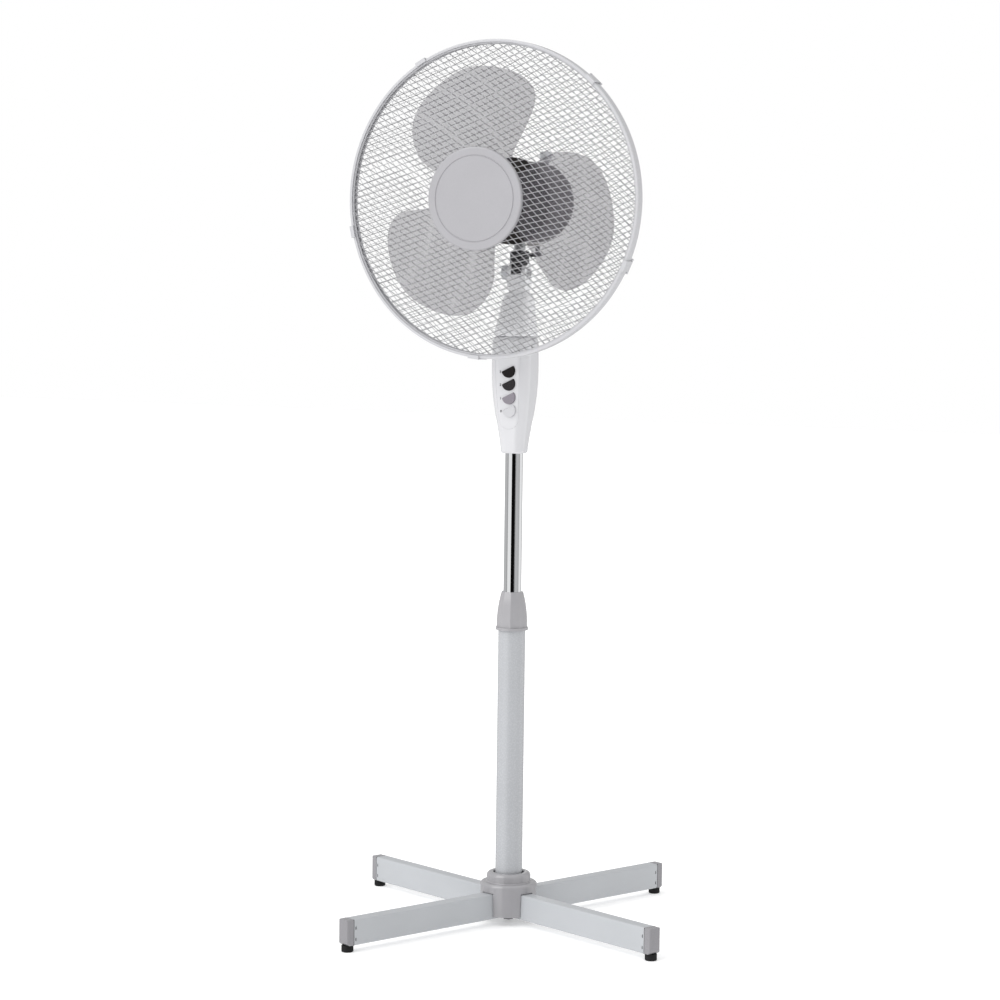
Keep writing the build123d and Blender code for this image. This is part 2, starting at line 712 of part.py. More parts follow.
def make_motor_front_cover():
    with BuildPart() as motor_front_cover:
        with BuildSketch(HEAD_PLANE):
            with BuildLine():
                FilletPolyline(
                    (17, MOTOR_FRONT - 12),
                    (17, MOTOR_FRONT),
                    (MOTOR_RADIUS, MOTOR_FRONT),
                    (MOTOR_RADIUS, MOTOR_SPLIT),
                    radius=[0, 10],
                )
                Line((MOTOR_RADIUS, MOTOR_SPLIT), (INNER_RADIUS, MOTOR_SPLIT))
                FilletPolyline(
                    (INNER_RADIUS, MOTOR_SPLIT),
                    (INNER_RADIUS, MOTOR_FRONT + MOTOR_WALL),
                    (14, MOTOR_FRONT + MOTOR_WALL),
                    (14, MOTOR_FRONT - 12),
                    radius=[8, 0],
                )
                Line((14, MOTOR_FRONT - 12), (17, MOTOR_FRONT - 12))
            make_face()
        revolve(axis=HEAD_AXIS)
        # the swing lug comes out through the underside
        with BuildSketch(Plane.XY.offset(HEAD_Z - MOTOR_RADIUS - 5)):
            with Locations((0, NECK_Y)):
                Circle(9.3)
        extrude(amount=20, mode=Mode.SUBTRACT)
    motor_front_cover.part.label = "motor_front_cover"
    export_step(motor_front_cover.part, "parts/motor_front_cover.step")


def make_motor_rear_cover():
    with BuildPart() as motor_rear_cover:
        with BuildSketch(HEAD_PLANE):
            with BuildLine():
                Line((MOTOR_RADIUS, MOTOR_SPLIT), (MOTOR_RADIUS, 60))
                Bezier((MOTOR_RADIUS, 60), (MOTOR_RADIUS, 80), (42, MOTOR_REAR), (0, MOTOR_REAR))
                Line((0, MOTOR_REAR), (0, MOTOR_REAR - MOTOR_WALL))
                Bezier(
                    (0, MOTOR_REAR - MOTOR_WALL),
                    (41, MOTOR_REAR - MOTOR_WALL),
                    (INNER_RADIUS, 78.5),
                    (INNER_RADIUS, 60),
                )
                Line((INNER_RADIUS, 60), (INNER_RADIUS, MOTOR_SPLIT))
                Line((INNER_RADIUS, MOTOR_SPLIT), (MOTOR_RADIUS, MOTOR_SPLIT))
            make_face()
        revolve(axis=HEAD_AXIS)
        # holes for the crank below and the swing knob above
        with BuildSketch(Plane.XY.offset(HEAD_Z - MOTOR_RADIUS - 5)):
            with Locations((CRANK_X, GEAR_Y)):
                Circle(CRANK_THROW + CRANK_PIN_RADIUS + 1.2)
        extrude(amount=30, mode=Mode.SUBTRACT)
        with BuildSketch(Plane.XY.offset(HEAD_Z + 40)):
            with Locations((WHEEL_X, GEAR_Y)):
                Circle(4.3)
        extrude(amount=30, mode=Mode.SUBTRACT)
        # cooling slots in the domed end
        with BuildSketch(Plane(origin=(0, MOTOR_REAR + 1, HEAD_Z), z_dir=(0, -1, 0))):
            with PolarLocations(31, 16):
                SlotOverall(20, 3.2)
        extrude(amount=16, mode=Mode.SUBTRACT)
    motor_rear_cover.part.label = "motor_rear_cover"
    export_step(motor_rear_cover.part, "parts/motor_rear_cover.step")


def make_front_bracket():
    with BuildPart() as front_bracket:
        with BuildSketch(HEAD_PLANE):
            with BuildLine():
                Polyline(
                    (8, -28),
                    (11, -28),
                    (11, -17.6),
                    (44, -17.6),
                    (44, 0),
                    (STATOR_RADIUS, 0),
                    (STATOR_RADIUS, STATOR_FRONT),
                    (38, STATOR_FRONT),
                    (38, -15.6),
                    (11, -15.6),
                    (11, -14),
                    (8, -14),
                    close=True,
                )
            make_face()
        revolve(axis=HEAD_AXIS)
    front_bracket.part.label = "front_bracket"
    export_step(front_bracket.part, "parts/front_bracket.step")


def make_rear_bracket():
    with BuildPart() as rear_bracket:
        with BuildSketch(HEAD_PLANE):
            with BuildLine():
                Polyline(
                    (8, 28),
                    (11, 28),
                    (11, 30),
                    (38, 30),
                    (38, STATOR_REAR),
                    (STATOR_RADIUS, STATOR_REAR),
                    (STATOR_RADIUS, 12),
                    (44, 12),
                    (44, 33),
                    (11, 33),
                    (11, 40),
                    (8, 40),
                    close=True,
                )
            make_face()
        revolve(axis=HEAD_AXIS)
        # the swing lug hangs from the bracket and holds the swing shaft
        with BuildSketch(Plane.XY.offset(966)):
            with Locations((0, NECK_Y)):
                Rectangle(12, 22, align=(Align.CENTER, Align.MIN))
        extrude(amount=9)
        with BuildSketch(Plane.XY.offset(BOSS_TOP + 1)):
            with Locations((0, NECK_Y)):
                Circle(8)
        extrude(amount=975 - BOSS_TOP - 1)
        with BuildSketch(Plane.XY.offset(BOSS_TOP + 1)):
            with Locations((0, NECK_Y)):
                Circle(SWING_RADIUS)
        extrude(amount=25, mode=Mode.SUBTRACT)
        # the stator's seat stays clear of the lug
        with BuildSketch(HEAD_PLANE):
            Rectangle(STATOR_RADIUS, STATOR_REAR, align=(Align.MIN, Align.MIN))
        revolve(axis=HEAD_AXIS, mode=Mode.SUBTRACT)
    rear_bracket.part.label = "rear_bracket"
    export_step(rear_bracket.part, "parts/rear_bracket.step")


def make_shaft_bearings():
    with BuildPart() as shaft_bearings:
        for start, length in ((-28, 14), (28, 12)):
            with BuildSketch(Plane(origin=(0, start, HEAD_Z), z_dir=(0, 1, 0))):
                Circle(8)
                Circle(SHAFT_RADIUS + FIT, mode=Mode.SUBTRACT)
            extrude(amount=length)
    shaft_bearings.part.label = "shaft_bearings"
    export_step(shaft_bearings.part, "parts/shaft_bearings.step")


def make_stator_core():
    with BuildPart() as stator_core:
        with BuildSketch(Plane(origin=(0, STATOR_FRONT, HEAD_Z), z_dir=(0, 1, 0))):
            Circle(STATOR_RADIUS)
            Circle(STATOR_BORE, mode=Mode.SUBTRACT)
            # slots that hold the windings, open to the bore
            with PolarLocations(STATOR_BORE + 6, 16):
                SlotOverall(10, 3.4, mode=Mode.SUBTRACT)
            with PolarLocations(STATOR_BORE + 1, 16):
                Rectangle(4, 1.2, mode=Mode.SUBTRACT)
        extrude(amount=STATOR_REAR - STATOR_FRONT)
    stator_core.part.label = "stator_core"
    export_step(stator_core.part, "parts/stator_core.step")


def make_stator_winding():
    with BuildPart() as stator_winding:
        for start, length in ((STATOR_FRONT - 9, 9), (STATOR_REAR, 9)):
            with BuildSketch(Plane(origin=(0, start, HEAD_Z), z_dir=(0, 1, 0))):
                Circle(34)
                Circle(STATOR_BORE + 1.5, mode=Mode.SUBTRACT)
            extrude(amount=length)
        fillet(stator_winding.edges().filter_by(
            lambda e: abs(e.center().Y - 7) > 19.9), radius=3)
        # the coils' sides fill the core's slots
        with BuildSketch(Plane(origin=(0, STATOR_FRONT, HEAD_Z), z_dir=(0, 1, 0))):
            with PolarLocations(STATOR_BORE + 6, 16):
                SlotOverall(9.6, 3.0)
        extrude(amount=STATOR_REAR - STATOR_FRONT)
    stator_winding.part.label = "stator_winding"
    export_step(stator_winding.part, "parts/stator_winding.step")


def make_rotor_core():
    with BuildPart() as rotor_core:
        with BuildSketch(Plane(origin=(0, STATOR_FRONT, HEAD_Z), z_dir=(0, 1, 0))):
            Circle(STATOR_BORE - AIR_GAP)
            Circle(SHAFT_RADIUS, mode=Mode.SUBTRACT)
            with PolarLocations(STATOR_BORE - 3.5, 18):
                Circle(1.2, mode=Mode.SUBTRACT)
        extrude(amount=STATOR_REAR - STATOR_FRONT)
    rotor_core.part.label = "rotor_core"
    export_step(rotor_core.part, "parts/rotor_core.step")


def make_motor_shaft():
    with BuildPart() as motor_shaft:
        with BuildSketch(Plane(origin=(0, -100, HEAD_Z), z_dir=(0, 1, 0))):
            Circle(SHAFT_RADIUS)
        extrude(amount=142)
        with BuildSketch(Plane(origin=(0, 42, HEAD_Z), z_dir=(0, 1, 0))):
            Circle(3)
        extrude(amount=28)
        chamfer(motor_shaft.edges().group_by(Axis.Y)[0], length=0.6)
    motor_shaft.part.label = "motor_shaft"
    export_step(motor_shaft.part, "parts/motor_shaft.step")


# ---- swing gear ---------------------------------------------------------------------------
def gear_outline(teeth, module, start_angle):
    """Straight-flanked teeth, thinner than their spaces so that a pair runs with play."""
    pitch_radius = teeth * module / 2
    with BuildSketch() as outline:
        Circle(pitch_radius - 0.95 * module)
        with PolarLocations(pitch_radius, teeth, start_angle=start_angle):
            Polygon(
                (-1.3 * module, -0.23 * pi * module),
                (0.75 * module, -0.10 * pi * module),
                (0.75 * module, 0.10 * pi * module),
                (-1.3 * module, 0.23 * pi * module),
                align=None,
            )
    return outline.sketch


def make_worm():
    pitch = WHEEL_MODULE * pi
    length = 8 * pitch
    start = GEAR_Y - length / 2
    root = WORM_PITCH_RADIUS - 0.65
    tip = WORM_PITCH_RADIUS + 0.45
    with BuildPart() as worm:
        with BuildLine():
            thread = Helix(
                pitch=pitch,
                height=length,
                radius=root,
                center=(0, start + pitch / 4, HEAD_Z),
                direction=(0, 1, 0),
            )
        outwards = (thread @ 0) - Vector(0, start + pitch / 4, HEAD_Z)
        with BuildSketch(Plane(origin=thread @ 0, x_dir=outwards, z_dir=thread % 0)):
            Polygon((-0.2, -0.42), (tip - root, -0.2), (tip - root, 0.2), (-0.2, 0.42), align=None)
        sweep(path=thread, is_frenet=True)
        with BuildSketch(Plane(origin=(0, start - 2, HEAD_Z), z_dir=(0, 1, 0))):
            Circle(root)
        extrude(amount=length + 5)
        with BuildSketch(Plane(origin=(0, start - 2, HEAD_Z), z_dir=(0, 1, 0))):
            Circle(3)
        extrude(amount=length + 5, mode=Mode.SUBTRACT)
    worm.part.label = "worm"
    export_step(worm.part, "parts/worm.step")


def make_worm_wheel():
    wheel = gear_outline(WHEEL_TEETH, WHEEL_MODULE, 0)
    pinion = gear_outline(PINION_TEETH, CRANK_MODULE, 0)
    with BuildPart() as worm_wheel:
        extrude(Plane.XY.offset(HEAD_Z - 3) * Pos(WHEEL_X, GEAR_Y) * wheel, amount=6)
        extrude(Plane.XY.offset(GEAR_BOTTOM) * Pos(WHEEL_X, GEAR_Y) * pinion, amount=7)
        with BuildSketch(Plane.XY.offset(GEAR_BOTTOM)):
            with Locations((WHEEL_X, GEAR_Y)):
                Circle(2.5)
        extrude(amount=1040 - GEAR_BOTTOM)
    worm_wheel.part.label = "worm_wheel"
    export_step(worm_wheel.part, "parts/worm_wheel.step")


LINK_RUN = Vector(STUD_X - CRANK_X, STUD_Y - GEAR_Y)
LINK_SIDE = Vector(LINK_RUN.Y, -LINK_RUN.X).normalized() * CRANK_THROW
PIN_X = CRANK_X + LINK_SIDE.X
PIN_Y = GEAR_Y + LINK_SIDE.Y


def make_crank_gear():
    # a tooth space faces the pinion
    wheel = gear_outline(CRANK_TEETH, CRANK_MODULE, 180 / CRANK_TEETH)
    with BuildPart() as crank_gear:
        extrude(Plane.XY.offset(GEAR_BOTTOM + 0.5) * Pos(CRANK_X, GEAR_Y) * wheel, amount=6)
        with BuildSketch(Plane.XY.offset(GEAR_TOP - 1)):
            with Locations((CRANK_X, GEAR_Y)):
                Circle(3)
        extrude(amount=18)
        with BuildSketch(Plane.XY.offset(LINK_BOTTOM - 1)):
            with Locations((PIN_X, PIN_Y)):
                Circle(CRANK_PIN_RADIUS)
        extrude(amount=GEAR_BOTTOM + 1 - LINK_BOTTOM + 1)
    crank_gear.part.label = "crank_gear"
    export_step(crank_gear.part, "parts/crank_gear.step")


def make_crank_link():
    middle = ((PIN_X + STUD_X) / 2, (PIN_Y + STUD_Y) / 2)
    with BuildPart() as crank_link:
        with BuildSketch(Plane.XY.offset(LINK_BOTTOM)):
            SlotCenterPoint(middle, (STUD_X, STUD_Y), 8)
            with Locations((PIN_X, PIN_Y)):
                Circle(5.5)
            with Locations((STUD_X, STUD_Y)):
                Circle(5.5)
                Circle(3 + FIT, mode=Mode.SUBTRACT)
            with Locations((PIN_X, PIN_Y)):
                Circle(CRANK_PIN_RADIUS + FIT, mode=Mode.SUBTRACT)
        extrude(amount=LINK_TOP - LINK_BOTTOM)
    crank_link.part.label = "crank_link"
    export_step(crank_link.part, "parts/crank_link.step")


def make_gearbox_case():
    floor = 984.5
    top = 1034.0
    with BuildPart() as gearbox_case:
        with BuildSketch(Plane.XY.offset(floor)):
            with Locations((7, 57)):
                RectangleRounded(54, 30, 3)
        extrude(amount=top - floor)
        # two feet stand on the rear bracket
        with BuildSketch(Plane.XZ.offset(-33)):
            with Locations((-16, HEAD_Z), (30, HEAD_Z)):
                Rectangle(8, 30)
        extrude(amount=-10)
        # chambers for the worm and its wheel, and bores for the two upright shafts
        with BuildSketch(Plane(origin=(0, 41, HEAD_Z), z_dir=(0, 1, 0))):
            Circle(7)
        extrude(amount=34, mode=Mode.SUBTRACT)
        with BuildSketch(Plane.XY.offset(HEAD_Z - 4)):
            with Locations((WHEEL_X, GEAR_Y)):
                Circle(13.2)
        extrude(amount=30, mode=Mode.SUBTRACT)
        with BuildSketch(Plane.XY.offset(floor)):
            with Locations((WHEEL_X, GEAR_Y)):
                Circle(2.5 + FIT)
        extrude(amount=40, mode=Mode.SUBTRACT)
        with BuildSketch(Plane.XY.offset(floor)):
            with Locations((CRANK_X, GEAR_Y)):
                Circle(3 + FIT)
        extrude(amount=16.5, mode=Mode.SUBTRACT)
    gearbox_case.part.label = "gearbox_case"
    export_step(gearbox_case.part, "parts/gearbox_case.step")


def make_swing_shaft():
    with BuildPart() as swing_shaft:
        with BuildSketch(Plane.XY.offset(BOSS_BOTTOM + 3.2)):
            with Locations((0, NECK_Y)):
                Circle(SWING_RADIUS)
        extrude(amount=974 - BOSS_BOTTOM - 3.2)
    swing_shaft.part.label = "swing_shaft"
    export_step(swing_shaft.part, "parts/swing_shaft.step")


def make_swing_knob():
    with BuildPart() as swing_knob:
        with BuildSketch(Plane.XY.offset(1041)):
            with Locations((WHEEL_X, GEAR_Y)):
                Circle(4)
        extrude(amount=36)
        with BuildSketch(Plane.XY.offset(1075)):
            with Locations((WHEEL_X, GEAR_Y)):
                Circle(8.5)
        extrude(amount=13)
        fillet(swing_knob.edges().group_by(Axis.Z)[-1], radius=2)
    swing_knob.part.label = "swing_knob"
    export_step(swing_knob.part, "parts/swing_knob.step")


# ---- guards -------------------------------------------------------------------------------
def make_guard_hoop():
    front = HOOP_Y - HOOP_WIDTH / 2
    rear = HOOP_Y + HOOP_WIDTH / 2
    inner = HOOP_RADIUS - HOOP_SKIN
    lip = HOOP_RADIUS - HOOP_LIP_DEPTH
    with BuildPart() as guard_hoop:
        with BuildSketch(HEAD_PLANE):
            with BuildLine():
                FilletPolyline(
                    (lip, front),
                    (HOOP_RADIUS, front),
                    (HOOP_RADIUS, rear),
                    (lip, rear),
                    radius=[1.2, 1.2],
                )
                Polyline(
                    (lip, rear),
                    (lip, rear - HOOP_LIP),
                    (inner, rear - HOOP_LIP),
                    (inner, front + HOOP_LIP),
                    (lip, front + HOOP_LIP),
                    (lip, front),
                )
            make_face()
        revolve(axis=HEAD_AXIS)
        # a pair of ears behind the hoop carries each clip
        for turn in CLIP_ANGLES + [LATCH_ANGLE]:
            with BuildSketch(rim_plane(turn).offset(HOOP_RADIUS - 1.8)):
                with Locations((-CLIP_LENGTH / 2 - 1.8, rear - 1), (CLIP_LENGTH / 2 + 1.8, rear - 1)):
                    Rectangle(1.6, 5.6, align=(Align.CENTER, Align.MIN))
            extrude(amount=3.4)
            with BuildSketch(clip_axis_plane(turn)):
                Circle(0.95)
            extrude(amount=20, both=True, mode=Mode.SUBTRACT)
    guard_hoop.part.label = "guard_hoop"
    export_step(guard_hoop.part, "parts/guard_hoop.step")


CLIP_AXIS_Y = HOOP_Y + HOOP_WIDTH / 2 + 3.0
CLIP_AXIS_RADIUS = HOOP_RADIUS


def clip_axis_plane(turn):
    """The plane across a clip's hinge line: its origin is on the line, its normal along it."""
    rim = rim_plane(turn)
    origin = rim.from_local_coords(Vector(0, CLIP_AXIS_Y, CLIP_AXIS_RADIUS))
    return Plane(origin=origin, x_dir=rim.z_dir, z_dir=rim.x_dir)


def make_guard_clip(label, turn, length):
    front = HOOP_Y - HOOP_WIDTH / 2
    with BuildPart() as guard_clip:
        with BuildSketch(rim_plane(turn).offset(HOOP_RADIUS + 0.35)):
            with Locations((0, front - 2.3)):
                Rectangle(length, CLIP_AXIS_Y - front + 2.3, align=(Align.CENTER, Align.MIN))
        extrude(amount=CLIP_SKIN)
        with BuildSketch(rim_plane(turn).offset(HOOP_RADIUS - 3.6)):
            with Locations((0, front - 2.3)):
                Rectangle(length, 1.8, align=(Align.CENTER, Align.MIN))
        extrude(amount=5)
        with BuildSketch(clip_axis_plane(turn)):
            Circle(0.35 + CLIP_SKIN)
        extrude(amount=length / 2, both=True)
        with BuildSketch(clip_axis_plane(turn)):
            Circle(0.9)
        extrude(amount=CLIP_LENGTH / 2 + 3, both=True)
    guard_clip.part.label = label
    export_step(guard_clip.part, f"parts/{label}.step")


def make_guard_rim(label, height):
    with BuildPart() as guard_rim:
        with BuildSketch(HEAD_PLANE):
            with Locations((RIM_RADIUS, height)):
                Circle(RIM_WIRE)
        revolve(axis=HEAD_AXIS)
    guard_rim.part.label = label
    export_step(guard_rim.part, f"parts/{label}.step")


def make_guard_net(label, rim_y, inner_radius, side):
    """A cap of the guard's sphere between its rim and its middle. side is -1 towards the front."""
    centre = rim_y - side * sqrt(GUARD_SPHERE**2 - NET_EDGE**2)

    def sphere_point(radius, skin):
        return (radius, centre + side * (sqrt(GUARD_SPHERE**2 - radius**2) + skin))

    half = (inner_radius + NET_EDGE) / 2
    with BuildPart() as guard_net:
        with BuildSketch(HEAD_PLANE):
            with BuildLine():
                outside = ThreePointArc(*(sphere_point(r, NET_SKIN / 2) for r in (inner_radius, half, NET_EDGE)))
                inside = ThreePointArc(*(sphere_point(r, -NET_SKIN / 2) for r in (inner_radius, half, NET_EDGE)))
                Line(outside @ 0, inside @ 0)
                Line(outside @ 1, inside @ 1)
            make_face()
        revolve(axis=HEAD_AXIS)
    guard_net.part.label = label
    export_step(guard_net.part, f"parts/{label}.step")


def make_badge_disc():
    with BuildPart() as badge_disc:
        with BuildSketch(HEAD_PLANE):
            with BuildLine():
                FilletPolyline(
                    (0, BADGE_FACE),
                    (BADGE_GROOVE - 1, BADGE_FACE),
                    (BADGE_GROOVE - 0.6, BADGE_FACE + 0.8),
                    (BADGE_GROOVE + 0.6, BADGE_FACE + 0.8),
                    (BADGE_GROOVE + 1, BADGE_FACE),
                    (BADGE_RADIUS, BADGE_FACE),
                    (BADGE_RADIUS, BADGE_FACE + 5.2),
                    radius=[0.2, 0.1, 0.1, 0.2, 2],
                )
                Polyline(
                    (BADGE_RADIUS, BADGE_FACE + 5.2),
                    (BADGE_RADIUS - 1.6, BADGE_FACE + 5.2),
                    (BADGE_RADIUS - 1.6, BADGE_FACE + 2.2),
                    (0, BADGE_FACE + 2.2),
                    (0, BADGE_FACE),
                )
            make_face()
        revolve(axis=HEAD_AXIS)
    badge_disc.part.label = "badge_disc"
    export_step(badge_disc.part, "parts/badge_disc.step")


def make_rear_guard_plate():
    with BuildPart() as rear_guard_plate:
        with BuildSketch(HEAD_PLANE):
            with BuildLine():
                Polyline(
                    (17.2, -22),
                    (58.5, -22),
                    (58.5, -24.6),
                    (PLATE_RADIUS, -24.6),
                    (PLATE_RADIUS, MOTOR_FRONT),
                    (17.2, MOTOR_FRONT),
                    close=True,
                )
            make_face()
        revolve(axis=HEAD_AXIS)
    rear_guard_plate.part.label = "rear_guard_plate"
    export_step(rear_guard_plate.part, "parts/rear_guard_plate.step")


def make_guard_nut():
    with BuildPart() as guard_nut:
        with BuildSketch(Plane(origin=(0, -31, HEAD_Z), z_dir=(0, 1, 0))):
            Circle(25)
            with PolarLocations(25, 6):
                SlotOverall(10, 5, rotation=90)
            Circle(17.05, mode=Mode.SUBTRACT)
        extrude(amount=9)
    guard_nut.part.label = "guard_nut"
    export_step(guard_nut.part, "parts/guard_nut.step")


# ---- impeller -----------------------------------------------------------------------------
def blade_section(turn):
    """The plane through the head's axis at this angle: x outwards, y towards the front."""
    outwards = (cos(radians(turn)), 0, sin(radians(turn)))
    along = (sin(radians(turn)), 0, -cos(radians(turn)))
    return Plane(origin=(0, 0, HEAD_Z), x_dir=outwards, z_dir=along)


def rim_point(turn, radius):
    return (radius * cos(radians(turn)), HEAD_Z + radius * sin(radians(turn)))


def one_blade():
    """A wide paddle: a piece of a screw surface inside a rounded outline."""
    middle = 104
    with BuildPart() as paddle:
        for turn in range(middle - 54, middle + 55, 18):
            with BuildSketch(blade_section(turn)):
                with Locations((103, -BLADE_MIDDLE_Y + BLADE_RISE * (turn - middle))):
                    Rectangle(174, BLADE_SKIN)
        loft()
        with BuildSketch(Plane.XZ):
            with BuildLine():
                edge = Spline(*[rim_point(turn, radius) for turn, radius in BLADE_OUTLINE])
                Spline(edge @ 1, rim_point(158, 50), rim_point(150, 20))
                Line(rim_point(150, 20), rim_point(60, 20))
                Spline(rim_point(60, 20), rim_point(66, 42), edge @ 0)
            make_face()
        extrude(amount=200, mode=Mode.INTERSECT)
    return paddle.part


def make_fan_blade():
    paddle = one_blade()
    front = BLADE_MIDDLE_Y - 12
    with BuildPart() as fan_blade:
        for turn in range(BLADE_COUNT):
            add(paddle.rotate(HEAD_AXIS, -turn * 360 / BLADE_COUNT))
        with BuildSketch(HEAD_PLANE):
            with BuildLine():
                FilletPolyline(
                    (SHAFT_RADIUS, front),
                    (BLADE_HUB_RADIUS, front),
                    (BLADE_HUB_RADIUS, front + 28),
                    radius=[3],
                )
                Polyline(
                    (BLADE_HUB_RADIUS, front + 28),
                    (BLADE_HUB_RADIUS - 2.5, front + 28),
                    (BLADE_HUB_RADIUS - 2.5, front + 2.5),
                    (8, front + 2.5),
                    (8, front + 26),
                    (SHAFT_RADIUS, front + 26),
                    (SHAFT_RADIUS, front),
                )
            make_face()
        revolve(axis=HEAD_AXIS)
        # the cup stays open behind
        with BuildSketch(HEAD_PLANE):
            with BuildLine():
                Polyline(
                    (8, front + 2.5),
                    (BLADE_HUB_RADIUS - 2.5, front + 2.5),
                    (BLADE_HUB_RADIUS - 2.5, front + 40),
                    (8, front + 40),
                    close=True,
                )
            make_face()
        revolve(axis=HEAD_AXIS, mode=Mode.SUBTRACT)
    fan_blade.part.label = "fan_blade"
    export_step(fan_blade.part, "parts/fan_blade.step")


def make_blade_nut():
    front = BLADE_MIDDLE_Y - 12
    with BuildPart() as blade_nut:
        with BuildSketch(HEAD_PLANE):
            with BuildLine():
                FilletPolyline(
                    (SHAFT_RADIUS, front),
                    (13, front),
                    (13, front - 12),
                    (0, front - 12),
                    radius=[0.5, 6],
                )
                Polyline(
                    (0, front - 12),
                    (0, front - 8.5),
                    (SHAFT_RADIUS, front - 8.5),
                    (SHAFT_RADIUS, front),
                )
            make_face()
        revolve(axis=HEAD_AXIS)
    blade_nut.part.label = "blade_nut"
    export_step(blade_nut.part, "parts/blade_nut.step")


# ---- build everything ---------------------------------------------------------------------
make_leg_bar("leg_bar_lower", LEG_ANGLES[0], LEG_MIDDLE)
make_leg_bar("leg_bar_upper", LEG_ANGLES[1], LEG_BOTTOM - SLIP)
for index, angle in enumerate(LEG_ANGLES):
    make_leg_cap(index + 1, angle)
make_rubber_feet()
make_base_hub()
make_base_bolt()
make_lower_tube()
make_collet_bush()
make_height_collar()
make_slide_bush()
make_upper_tube()
make_control_front()
make_control_rear()
make_button_panel()
for index, button_z in enumerate(BUTTON_HEIGHTS):
    make_button(index, button_z)
make_switch_block()
make_cord_grommet()
make_housing_screw()
make_neck_post()
make_tilt_bolt()
make_tilt_knob()
make_tilt_knuckle()
make_motor_front_cover()
make_motor_rear_cover()
make_front_bracket()
make_rear_bracket()
make_shaft_bearings()
make_stator_core()
make_stator_winding()
make_rotor_core()
make_motor_shaft()
make_worm()
make_worm_wheel()
make_crank_gear()
make_crank_link()
make_gearbox_case()
make_swing_shaft()
make_swing_knob()
make_guard_hoop()
for index, angle in enumerate(CLIP_ANGLES):
    make_guard_clip(f"guard_clip_{index + 1}", angle, CLIP_LENGTH)
make_guard_clip("guard_latch", LATCH_ANGLE, CLIP_LENGTH)
make_guard_rim("front_guard_rim", FRONT_RIM_Y)
make_guard_rim("rear_guard_rim", REAR_RIM_Y)
make_guard_net("front_guard_net", FRONT_RIM_Y, BADGE_RADIUS + 0.1, -1)
make_guard_net("rear_guard_net", REAR_RIM_Y, PLATE_RADIUS + 0.1, 1)
make_badge_disc()
make_rear_guard_plate()
make_guard_nut()
make_fan_blade()
make_blade_nut()
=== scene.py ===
import json
import math

import bmesh
import bpy
import numpy as np
from mathutils import Matrix, Vector
from mathutils.bvhtree import BVHTree


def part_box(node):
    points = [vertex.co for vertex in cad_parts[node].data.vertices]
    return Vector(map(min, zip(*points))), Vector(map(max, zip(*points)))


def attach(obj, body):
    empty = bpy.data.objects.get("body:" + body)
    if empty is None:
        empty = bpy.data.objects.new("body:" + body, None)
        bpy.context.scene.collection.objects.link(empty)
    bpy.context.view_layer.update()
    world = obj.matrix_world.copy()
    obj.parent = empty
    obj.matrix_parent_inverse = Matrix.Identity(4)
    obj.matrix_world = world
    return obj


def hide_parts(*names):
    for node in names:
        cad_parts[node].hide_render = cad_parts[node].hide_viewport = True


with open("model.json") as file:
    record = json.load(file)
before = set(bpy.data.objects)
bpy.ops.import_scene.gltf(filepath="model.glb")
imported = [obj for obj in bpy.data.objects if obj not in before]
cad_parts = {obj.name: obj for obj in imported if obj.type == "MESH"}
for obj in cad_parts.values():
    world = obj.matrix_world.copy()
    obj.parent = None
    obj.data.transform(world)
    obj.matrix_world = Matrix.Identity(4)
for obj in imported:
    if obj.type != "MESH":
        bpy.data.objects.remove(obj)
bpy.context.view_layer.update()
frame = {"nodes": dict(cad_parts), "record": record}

NODES = frame["nodes"]

# ---- sizes of this script's own, in metres --------------------------------------------------
MM = 0.001
NET_SPHERE = 0.415          # both guards are caps of a sphere of this radius
WIRE_RADIUS = 0.45 * MM
WIRE_PITCH = 7.7 * MM
WIRE_SIDES = 8
WIRE_STEPS = 26
WIRE_END_LAP = 1.2 * MM          # wires run this far past the net, into the rim
WIRE_DISC_LAP = 1.5 * MM         # and this far in under the disc in the middle
WIRE_EDGE_GAP = 1.0 * MM         # a wire nearer the edge than this is left out
FRONT_WIRES = (-47.0, 13.5)      # degrees from the horizontal, seen from the front
REAR_WIRES = (-36.0, 22.0)

# the camera stands in front, to the fan's left, a little above the control box
CAMERA_PLACE = (1.6274, -3.5883, 0.9302)
CAMERA_TURN = 24.672        # degrees about the vertical
CAMERA_PITCH = 4.794        # degrees downwards
CAMERA_ROLL = 0.731
CAMERA_LENS = 101.43        # mm on a 36 mm sensor

WORLD_LIGHT = 0.86
KEY_LIGHT = 1.35
KEY_DIRECTION = (0.51, 0.61, -0.62)
KEY_SOFTNESS = 55           # degrees across
FLOOR_GLOW = 0.3
FLOOR_HALF = 12
CARD_REACH = 2.4            # metres from the pole
CARD_HEIGHTS = (-1.6, 2.6)
CARD_STEPS = 24
CARDS = (                   # name, from and to in degrees about the pole, brightness
    ("dark_card", -91.6, -46.0, 0.004),
    ("right_line_card", -45.9, -37.0, 0.24),
    ("right_grey_card", -36.9, 8.0, 0.5),
    ("right_end_card", 8.1, 17.0, 0.34),
    ("edge_card", 58.0, 112.0, 0.48),
    ("left_grey_card", 114.0, 206.0, 0.5),
    ("left_line_card", 206.1, 221.0, 0.36),
)


# ---- materials ------------------------------------------------------------------------------
def socket(shader, name, value):
    shader.inputs[name].default_value = value


def link(material, output, target):
    material.node_tree.links.new(output, target)


def node(material, kind):
    return material.node_tree.nodes.new("ShaderNode" + kind)


